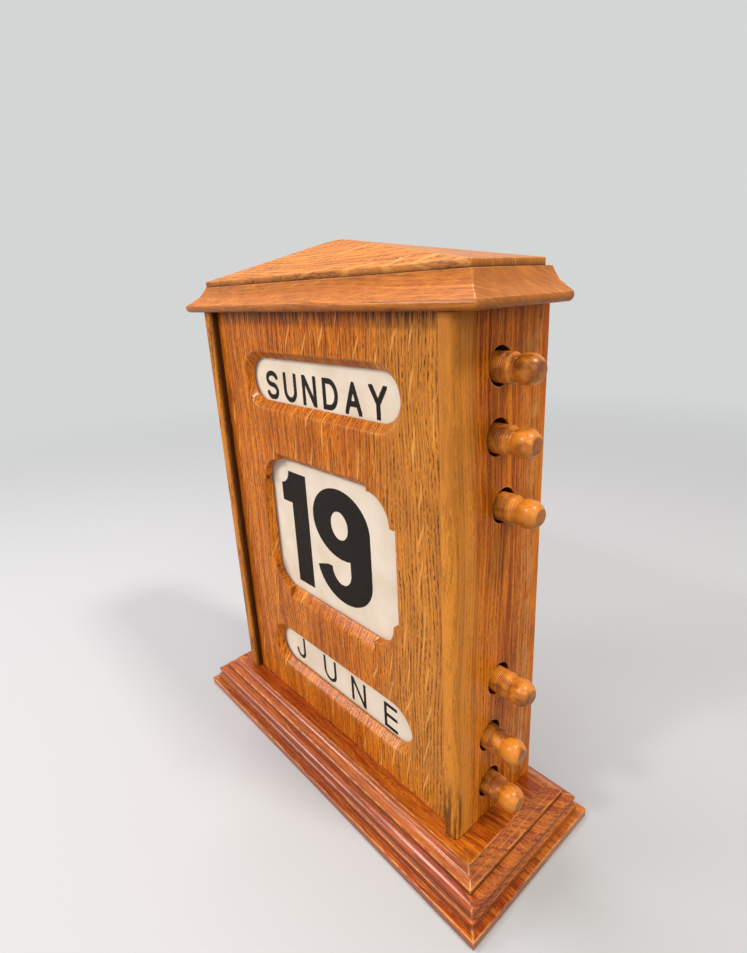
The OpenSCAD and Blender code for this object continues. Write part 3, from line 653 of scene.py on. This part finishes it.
def window(width, height, middle, radius, bevels):
    """The walls of a window: a bevel run from the front face down to the square land, each
    point of the path drawn outwards by its own side's share of bevel."""
    path, normal, side = window_path(width, height, middle, radius)
    front, back = panel_low[Y], panel_high[Y]
    profile, mark = eased([(-BEVEL - FACE_RUN, front), (-BEVEL, front), (0, back - LAND),
                           (0, back), (-BACK_RUN, back)], ease=0.8, hold=1.4)
    out = -profile[:, :1]
    fore = profile[:, 1:] < back - 0.01
    beyond = np.where(fore, np.maximum(out - BEVEL, 0), out)
    out = np.clip(out / BEVEL, 0, 1) * fore * np.asarray(bevels, float)[side] + beyond
    out = np.concatenate([np.full((1, len(path)), SILL + FACE_RUN + 0.2), out])
    level, mark = np.append(front, profile[:, 1]), np.append(0, mark)
    return carried(path, normal, out, level, Y, mark[:, None])


def upright(plan):
    """Points (x, z) stood up in the plane of X and Z."""
    return np.stack([plan[:, 0], 0 * plan[:, 0], plan[:, 1]], 1)


low, high = panel_low, panel_high
panel_edge = carried(upright(rectangle(low[[X, Z]], high[[X, Z]])), np.zeros((4, 3)), 0,
                     [low[Y], high[Y]], Y)
openings = [window(*WINDOWS[band], WINDOWS[band][1] / 2, [BEVEL] * 5) for band in ("day", "month")]
openings.append(window(*WINDOWS["date"], CORNER_R, [0, BEVEL, BEVEL, BEVEL, SILL]))
# A band of painted shadow lies on the panel under the cornice.
panel_oak = oak_finish(
    "panel_oak", Z, X, (0, 160, 31), deep=0.27, amount=0.3, sap=0.7, edge=(X, 20, 75),
    darker_bands=((Z, high[Z] - 9, high[Z] - 2),), coat=0.2)
piece("face_panel", [panel_edge] + openings, [(Y, low[Y]), (Y, high[Y])], panel_oak,
      "case", "front_panel")

# -------- Back board
# A thin oak board planted over the back edges of the sides and held by ten countersunk
# brass screws.
SCREW_R, WIRE_R, TIP_R, POINT = 2.7, 1.4, 0.4, 4.0
SLOT_LENGTH, SLOT_WIDTH, SLOT_DEPTH = 4.4, 0.9, 0.8


def screw_sink(face, back):
    """The outline of a countersunk screw hole from a face through to the back."""
    return eased([(HEAD_R + 1, face), (HEAD_R, face), (SHANK_R, face - HEAD_H), (SHANK_R, back)],
                 ease=0.15, hold=0.5)


low, high = mm_box("back_board")
outline, _ = eased(rectangle(low[[X, Z]], high[[X, Z]]), True)
path = upright(outline)
way = np.sign(path - (low + high) / 2) * (1, 0, 1)
profile, mark = eased([(-3, low[Y]), (0, low[Y]), (0, high[Y]), (-3, high[Y])])
board = carried(path, way, profile[:, :1], profile[:, 1], Y, mark[:, None])
screw_low, screw_high = mm_box("back_screws")
levels = [screw_low[Z] + SCREW_R, (axes["month", "upper"][1] + axes["date", "lower"][1]) / 2,
          WINDOWS["date"][2], (axes["date", "upper"][1] + axes["day", "lower"][1]) / 2,
          screw_high[Z] - SCREW_R]
back_places = [(x, z) for x in (-side_mid, side_mid) for z in levels]
back, tip = high[Y], screw_low[Y]
piece("planted_back", [board] + [bore(at, Y, screw_sink(back, low[Y]), 24) for at in back_places],
      [(Y, low[Y]), (Y, back)],
      oak_finish("back_oak", Z, X, (480, 300, 77), tone=-0.05, rays=0.5, pores=0.5, deep=2.0),
      "case", "back_board")


def dull_metal(name, scale, clean, dull, rough, rougher):
    """Metal gone dull in patches, by noise at that scale to the metre."""
    made, tree, shader = material(name, Metallic=1.0)
    place = add(tree, "TexCoord").outputs["Object"]
    patches = remap(tree, noise(tree, place, scale, 3.0), 0.35, 0.7)
    send(tree, shader.inputs, Base_Color=mixed(tree, patches, clean, dull),
         Roughness=times(tree, patches, rougher, rough))
    return made


def slot_stack(x, z, turn):
    """The screwdriver slot: a turned rectangle sunk into the head."""
    half = np.array([SLOT_LENGTH, SLOT_WIDTH]) / 2
    cos, sin = math.cos(turn), math.sin(turn)
    turned = rectangle(-half, half) @ np.array([(cos, sin), (-sin, cos)]) + (x, z)
    return carried(upright(turned), np.zeros((4, 3)), 0, [back, back - SLOT_DEPTH], Y)


screw = eased([(TIP_R, tip), (WIRE_R, tip + POINT), (WIRE_R, back - HEAD_H), (SCREW_R, back),
               (SCREW_R - 0.35, back)], ease=0.1, hold=0.3)
slot_turns = np.random.default_rng(4).uniform(0, math.pi, len(back_places))
brass = dull_metal("brass", 700, srgb(214, 170, 92), srgb(150, 108, 52), 0.24, 0.22)
piece("slotted_screws", [bore(at, Y, screw, 24) for at in back_places]
      + [slot_stack(*at, turn) for at, turn in zip(back_places, slot_turns)],
      [(Y, back), (Y, back - SLOT_DEPTH), (Y, tip)], brass, "case", "back_screws")

# -------- Cornice board
# An oak board laid over the case, moulded on its front and both ends: a rounded nose, a
# sloping band and a cove under the roof. It is screwed down into the sides.
NOSE = 2.6
BAND = (6.5, 8.3)  # inset and height of the top of the sloping band
TOP_INSET = 9.9
CORNICE_RUN = 16.0
COVE = (38, 26)  # degrees below level between which the ellipse of the cove is cut
BACK_EDGE = 1.2  # how far the faces run in from the back edge, which is plain
low, high = mm_box("cornice_board")
rise = high[Z] - low[Z]
(low_cos, high_cos), (low_sin, high_sin) = np.cos(np.radians(COVE)), np.sin(np.radians(COVE))
cove_a = (TOP_INSET - BAND[0]) / (high_cos - low_cos)
cove_b = (rise - BAND[1]) / (low_sin - high_sin)
cove = arc(BAND[0] - cove_a * low_cos, rise + cove_b * high_sin, cove_a, cove_b, -COVE[0],
           -COVE[1])
profile, mark = edge_profile(np.concatenate([
    [(CORNICE_RUN, 0)], arc(NOSE, NOSE, NOSE, NOSE, 270, 150), cove,
    [(CORNICE_RUN, rise)]]) + (0, low[Z]))
inner = np.where(profile[:, 1] < low[Z] + 0.01, NOSE, TOP_INSET)
behind = np.clip(profile[:, 0] - inner, 0, BACK_EDGE)[:, None]
piece("moulded_cornice", [moulded(low[:2], high[:2], profile, mark, behind)]
      + [bore(at, Z, screw_sink(high[Z], low[Z]), 24) for at in screw_places],
      [(Z, low[Z]), (Z, high[Z])],
      oak_finish("cornice_oak", X, Z, (90, 500, 140), tone=-0.6, rays=0.3,
                 pores=0.5, ends=0.4, lean=0.6, sap=0.5, patina=0.2, coat=0.25),
      "case", "cornice_board", grain=X)

# -------- Roof slab
# A slab of oak on the cornice with an upright rim, planed to four slopes that meet in a
# softly rounded point.
APEX_SOFT = 0.06
RIM = 3.0
# The foot of the rim is marked as a crease, which paints shade where it meets the cornice.
RIM_RINGS = np.array([  # share of the way in to the point, height over the rim, arris mark
    (0, -RIM, -1), (0, 0.5 - RIM, -0.6), (0, -0.9, 0), (0.0008, -0.25, 0.8), (0.004, 0.05, 0.8),
    (0.02, 0.3, 0)])
low, high = mm_box("roof_slab")
rim = low[Z] + RIM
plan, _, corner = ring_plan(low[:2], high[:2])
share = np.concatenate([np.linspace(0.06, 0.9, 8), [0.95, 0.98, 0.993]])
slope = (high[Z] - rim) * (share - np.maximum(share - (1 - APEX_SOFT), 0) * 0.5)
rings = np.concatenate([RIM_RINGS, np.stack([share, slope, 0 * share], 1)])
share, level, mark = rings.T[..., None]
middle = (low[:2] + high[:2]) / 2
inner = middle + (plan - middle) * (1 - share)[..., None]
both = np.where(np.abs(mark) > 0.1, mark, corner * 0.7)
piece("hipped_roof", [stacked(inner[..., X], inner[..., Y], rim + level, both)],
      [(Z, low[Z]), (Z, rim + level[-1, 0])],
      oak_finish("roof_oak", X, Y, (700, 60, 210), tone=-0.4, rays=0.6, pores=0.75, ends=0.4,
                 sap=0.6, coat=0.25),
      "case", "roof_slab", sharp=12, grain=X)

# -------- Bearing battens, guide boards
# Plain unvarnished softwood inside the case: two bored battens that the rollers run in, and
# three thin boards that hold the bands flat. They keep their plain shapes.


def plain_wood(name, along, start, light, dark):
    """Bare softwood: noise stretched along the grain between a light and a dark tone."""
    made, tree, shader = material(name)
    mm = add(tree, "VectorMath", {0: in_mm(tree), 1: start}, operation="ADD").outputs[0]
    scale = np.full(3, 0.5)
    scale[along] = 0.01
    growth = remap(tree, noise(tree, mm, scale, 3.0), 0.3, 0.7)
    fibre = noise(tree, mm, scale * 6)
    shade = times(tree, fibre, 0.3, times(tree, growth, 0.7))
    colour = mixed(tree, shade, dark, light)
    send(tree, shader.inputs, Base_Color=colour, Normal=relief(tree, fibre, 0.3, 0.0002),
         Roughness=times(tree, fibre, 0.2, 0.55))
    return made


def finish_node(node, finish):
    """Gives a carried-over CAD node its finish."""
    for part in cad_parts[node].material_slots:
        part.material = finish


pine = plain_wood("batten_wood", Z, (0, 12, 90), srgb(222, 190, 140), srgb(190, 146, 92))
boards = plain_wood("guide_wood", X, (60, 0, 31), srgb(226, 198, 150), srgb(196, 156, 104))
for hand in ("left", "right"):
    finish_node(f"{hand}_bearing_batten", pine)
for band in BANDS:
    finish_node(f"{band}_guide_board", boards)

# -------- Rollers and coils
# Beech dowels with turned journals, and the printed band wound on each, whose edges show
# as fine rings.
dowel = plain_wood("roller_wood", X, (7, 40, 3), srgb(206, 158, 104), srgb(168, 116, 66))
wound, tree, shader = material("wound_paper", Roughness=0.85)
place = add(tree, "TexCoord").outputs["Object"]
layers = noise(tree, place, (60, 2600, 2600))
edges = mixed(tree, remap(tree, layers, 0.35, 0.65), srgb(214, 196, 164), srgb(238, 224, 198))
send(tree, shader.inputs, Base_Color=edges, Normal=relief(tree, layers, 0.4, 0.0002))
for band, end in rollers:
    finish_node(f"{band}_{end}_roller", dowel)
    finish_node(f"{band}_{end}_coil", wound)

# -------- Printed bands
# Linen-backed paper printed in a mottled brown-black, drawn from the upper coil over its
# guide board to the lower coil.
BAND_T = 0.2
COIL_GAP = 0.3
GUIDE_EASE = 0.05
CELL = 0.5
BENDS = 9  # rows round each edge of a guide board
BACK_ROWS = 8  # the back carries no print, so it has one of so many of the front's rows
INK = srgb(24, 17, 13)
INK_REACH = 3.0  # distances past this are all alike
FAR = 1e3


def box_distance(x, z, left, right, low, high):
    """Signed distance to a rectangle, negative inside it."""
    dx = np.abs(x - (left + right) / 2) - (right - left) / 2
    dz = np.abs(z - (low + high) / 2) - (high - low) / 2
    return np.hypot(np.maximum(dx, 0), np.maximum(dz, 0)) + np.minimum(np.maximum(dx, dz), 0)


def oval_distance(x, z, cx, cz, a, b):
    """Signed distance to an ellipse, near enough: (k - 1) k / |p / r^2| with k = |p / r|."""
    u, v = (x - cx) / a, (z - cz) / b
    k = np.hypot(u, v)
    return (k - 1) * k / np.maximum(np.hypot(u / a, v / b), 1e-6)


def bend(*curve):
    """A curved stroke of a letter, in the letter's own 0..1 square."""
    return arc(*curve, 12)


STEM = [(0, -0.3), (0, 1.3)]
LETTERS = {  # pen strokes in a 0..1 square; one that leaves the square is cut off there
    "S": [np.concatenate([bend(0.5, 0.76, 0.5, 0.24, 20, 270),
                          bend(0.5, 0.25, 0.5, 0.27, 90, -160)])],
    "U": [np.concatenate([[(0, 1.3)], bend(0.5, 0.36, 0.5, 0.36, 180, 360), [(1, 1.3)]])],
    "N": [STEM, [(0, 1.08), (1, -0.08)], [(1, -0.3), (1, 1.3)]],
    "D": [STEM, np.concatenate([[(-0.3, 1)], bend(0.42, 0.5, 0.58, 0.5, 90, -90), [(-0.3, 0)]])],
    "A": [[(-0.12, -0.24), (0.5, 1.0)], [(1.12, -0.24), (0.5, 1.0)], [(0.2, 0.3), (0.8, 0.3)]],
    "Y": [[(-0.12, 1.2), (0.5, 0.46)], [(1.12, 1.2), (0.5, 0.46)], [(0.5, 0.46), (0.5, -0.3)]],
    "J": [np.concatenate([[(1, 1.3)], bend(0.5, 0.34, 0.5, 0.34, 360, 185)])],
    "E": [STEM, [(-0.3, 1), (1.3, 1)], [(0, 0.52), (1.1, 0.52)], [(-0.3, 0), (1.3, 0)]],
}


def letter_distance(x, z, letter, left, low, width, height, stroke):
    """Signed distance to a letter: the least distance to its pen strokes, less half the
    stroke's width, cut off at the letter's own box."""
    size = np.array([width - stroke, height - stroke])
    corner = np.array([left, low]) + stroke / 2
    best = np.full(x.shape, FAR)
    for run in LETTERS[letter]:
        run = np.asarray(run) * size + corner
        a, d = run[:-1], run[1:] - run[:-1]
        px, pz = x[..., None] - a[:, 0], z[..., None] - a[:, 1]
        t = np.clip((px * d[:, 0] + pz * d[:, 1]) / np.maximum((d ** 2).sum(1), 1e-9), 0, 1)
        away = np.hypot(px - t * d[:, 0], pz - t * d[:, 1]).min(-1)
        best = np.minimum(best, away - stroke / 2)
    return np.maximum(best, box_distance(x, z, left, left + width, low, low + height))


def word_distance(x, z, letters, low, height, stroke):
    """The nearest of a word's letters. letters gives each one's middle and width."""
    return np.minimum.reduce([
        letter_distance(x, z, letter, middle - width / 2, low, width, height, stroke)
        for letter, middle, width in letters])


# Each word's letters, with the foot, height and stroke of its line
DAY_WORD = ([(letter, -44 + 17.6 * i, 12.5) for i, letter in enumerate("SUNDAY")], 220, 16, 2.9)
MONTH_WORD = (list(zip("JUNE", (-43, -12, 15, 42), (10, 12.5, 13, 10.5))), 47, 16.5, 2.2)
MONTH_TILT = math.tan(math.radians(-1.7))
# The date's figures: boxes by left, right, foot and top, ovals by middle and half-axes
ONE, FLAG, NINE_STEM = (-35.8, -20.2, 109, 179), (-45, -30, 159.5, 179), (15.6, 33, 130.5, 158)
BITE_X, BITE_Z, BITE_R = -45.5, 179, 8.3
BOWL, BOWL_EYE = (8.8, 158, 24.2, 20.4), (8.1, 157.5, 7.1, 8.1)
HOOK, HOOK_EYE = (9.3, 131, 23.7, 20.2), (7.5, 131, 8.1, 9.0)


def day_ink(x, z):
    """The weekday, in bold capitals."""
    return word_distance(x, z, *DAY_WORD)


def month_ink(x, z):
    """The month, in plain capitals, pasted on a little askew."""
    return word_distance(x, z - x * MONTH_TILT, *MONTH_WORD)


def date_ink(x, z):
    """The figures 1 and 9 in heavy block numerals, the 1 with a round bite out of its flag
    and the 9 with its hook cut off on a slant."""
    bite = BITE_R - np.hypot(x - BITE_X, z - BITE_Z)
    one = np.minimum(box_distance(x, z, *ONE), np.maximum(box_distance(x, z, *FLAG), bite))
    bowl = np.maximum(oval_distance(x, z, *BOWL), -oval_distance(x, z, *BOWL_EYE))
    hook = np.maximum(oval_distance(x, z, *HOOK), -oval_distance(x, z, *HOOK_EYE))
    slant = np.where(x < 2, z - 130 - 0.33 * (x + 7.5), -FAR)
    hook = np.maximum.reduce([hook, z - HOOK[1], slant])
    return np.minimum.reduce([one, bowl, box_distance(x, z, *NINE_STEM), hook])


paper, tree, shader = material("band_paper", Specular_IOR_Level=0.15)
mm = in_mm(tree)
blotch = noise(tree, mm, 0.05, 3.0)
weave = noise(tree, mm, 1.8)
sheet = mixed(tree, remap(tree, blotch, 0.3, 0.75), srgb(235, 222, 205), srgb(223, 206, 184))
distance = add(tree, "Attribute", attribute_name="ink").outputs["Fac"]
ragged = times(tree, noise(tree, mm, 1.4), 0.5, -0.25)
printed = remap(tree, calc(tree, "ADD", distance, ragged), 0.10, -0.10)
worn_off = remap(tree, noise(tree, mm, 0.9, 4.0, 0.7), 0.58, 0.74)
ink = mixed(tree, times(tree, worn_off, 0.35), INK, srgb(120, 96, 78))
send(tree, shader.inputs, Base_Color=mixed(tree, printed, sheet, ink),
     Roughness=remap(tree, printed, 0, 1, 0.85, 0.6), Normal=relief(tree, weave, 0.25, 0.0001))


def toward(a, p, b, q, side):
    """Angle of the normal of the line that touches a circle of radius p at a and one of
    radius q at b: the angle from a to b, plus or minus acos((p - q) / distance)."""
    gap = math.hypot(b[0] - a[0], b[1] - a[1])
    return math.atan2(b[1] - a[1], b[0] - a[0]) + side * math.acos((p - q) / gap)


def band_run(band):
    """The band's outer line in Y and Z from the upper coil to the lower one, and the outward
    normals along it: a straight to each coil, an arc over each edge of the guide board, and
    rows CELL apart down the front."""
    low, high = mm_box(f"{band}_guide_board")
    half = (high[Y] - low[Y]) / 2
    edge = half + GUIDE_EASE
    top, bottom = (low[Y] + half, high[Z] - half), (low[Y] + half, low[Z] + half)
    upper, lower = axes[band, "upper"], axes[band, "lower"]
    coils = [mm_box(f"{band}_{end}_coil") for end in ENDS]
    upper_r, lower_r = [(back - front)[Y] / 2 + COIL_GAP for front, back in coils]
    g = toward(top, edge, upper, upper_r, 1)
    h = toward(bottom, edge, lower, lower_r, -1) + 2 * math.pi
    over, under = np.linspace(g, math.pi, BENDS), np.linspace(math.pi, h, BENDS)
    rows = np.linspace(top[1], bottom[1], round((top[1] - bottom[1]) / CELL) + 1)[1:-1]
    angle = np.concatenate([[g], over, np.full(len(rows), math.pi), under, [h]])
    down = np.stack([np.full(len(rows), top[0]), rows], 1)
    centre = np.concatenate([[upper], np.tile(top, (BENDS, 1)), down,
                             np.tile(bottom, (BENDS, 1)), [lower]])
    radius = np.concatenate([[upper_r], np.full(len(angle) - 2, edge), [lower_r]])
    return centre, radius, np.stack([np.cos(angle), np.sin(angle)], 1)


for band, ink in zip(BANDS, (day_ink, date_ink, month_ink)):
    low, high = mm_box(f"{band}_band")
    centre, radius, normal = band_run(band)
    front = centre + normal * (radius + BAND_T)[:, None]
    back = centre + normal * radius[:, None]
    flat = normal[:, 0] < -0.999999
    sparse = back[~flat | (np.arange(len(back)) % BACK_ROWS == 0)]
    loop = np.concatenate([front, sparse[::-1]])
    columns = np.linspace(low[X], high[X], round((high[X] - low[X]) / CELL) + 1)
    x, y, z = np.broadcast_arrays(columns[:, None], *loop.T)
    distance = np.clip(ink(x, z), -INK_REACH, INK_REACH)
    distance[:, len(front):] = INK_REACH
    piece(f"{band}_paper", [stacked(x, y, z, distance)], [(X, low[X]), (X, high[X])], paper,
          "case", f"{band}_band", layer="ink")

# -------- Knobs
# Six turned oak finger knobs on tenons glued into the rollers: a collar with two fine
# grooves, a ring, a short neck and an egg-shaped ball with a flat on its end, painted dark as
# shade.
TENON_R, TENON_LENGTH = 2.5, 12.0
COLLAR_R, NECK_R, BALL_R, FLAT_R = 6.2, 5.4, 6.2, 3.2
COLLAR_OUT, RING_LENGTH, BALL_OUT, BALL_IN = 3.2, 3.2, 12.8, 8.0
GROOVE_DEEP, GROOVE_HALF = 0.35, 0.3
SLIGHTER = (0.1, 0.3, 0.1)  # by how much at most a knob's collar, neck and ball are turned down


def knob_outline(foot, side, wobble):
    """The knob's [radius, x] outline from its tenon to the flat on its end. wobble is what
    is taken off the radii of its collar, neck and ball."""
    ring_start, ball = side + COLLAR_OUT, side + BALL_OUT
    ring_end = ring_start + RING_LENGTH
    collar, neck, ball_r = np.array([COLLAR_R, NECK_R, BALL_R]) - wobble
    neck_end = ball - BALL_IN * math.sqrt(1 - (neck / ball_r) ** 2)
    middle = (ring_end + neck_end) / 2
    deep = GROOVE_DEEP
    grooves = [(collar - cut, ring_start + x + step * GROOVE_HALF)
               for x, depth in ((-0.4, deep * 0.8), (0.4, deep))
               for step, cut in ((-1, 0), (0, depth), (1, 0))]
    flat = math.degrees(math.acos(FLAT_R / ball_r))
    return np.concatenate([
        [(TENON_R, foot - TENON_LENGTH), (TENON_R, foot), (collar, foot)], grooves,
        [(collar, ring_end - deep)],
        arc(collar - deep, middle, collar - deep - neck, middle - ring_end, 270, 180),
        [(neck, neck_end - 0.3), (neck - 0.25, neck_end)],
        arc(0, ball, ball_r, BALL_IN, -math.degrees(math.acos(neck / ball_r)), 0, 12),
        arc(0, ball, ball_r, ball_r, 0, flat, 12)[1:],
        [(0.3, ball + math.sqrt(ball_r ** 2 - FLAT_R ** 2))]])


rng = np.random.default_rng(11)
side_x = mm_box("right_side")[1][X]
for i, (key, (y, z)) in enumerate(axes.items()):
    name = "_".join(key)
    foot = mm_box(f"{name}_knob")[0][X] + TENON_LENGTH
    outline = knob_outline(foot, side_x, rng.uniform(0, SLIGHTER))
    outline, mark = eased(outline, ease=0.22, hold=0.6)
    # The flat on the end, and the hidden tenon, are marked as creases: painted shade.
    mark[outline[:, 0] < FLAT_R + 0.2] = -0.5
    finish = oak_finish(f"{name}_knob_oak", X, Y, (37 * i, 400 + 61 * i, 23 * i), tone=0.6,
                        streak=0.3, rays=0.0, pores=0.25, amount=0.3, sap=0.5, patina=0.7,
                        coat=0.6, sheen=0.28)
    piece(f"{name}_turned_knob", [bore((y, z), X, (outline, mark), 56)],
          [(X, outline[0][1]), (X, outline[-1][1])], finish, f"{name}_roller_set",
          f"{name}_knob", sharp=40)

# -------- Hidden fixings
# Steel wood screws through the base and the cornice, and the panel pins of the guide boards.
steel = dull_metal("steel", 900, srgb(186, 184, 180), srgb(132, 130, 128), 0.28, 0.25)
for node in ("base_screws", "cornice_screws", "guide_pins"):
    finish_node(node, steel)
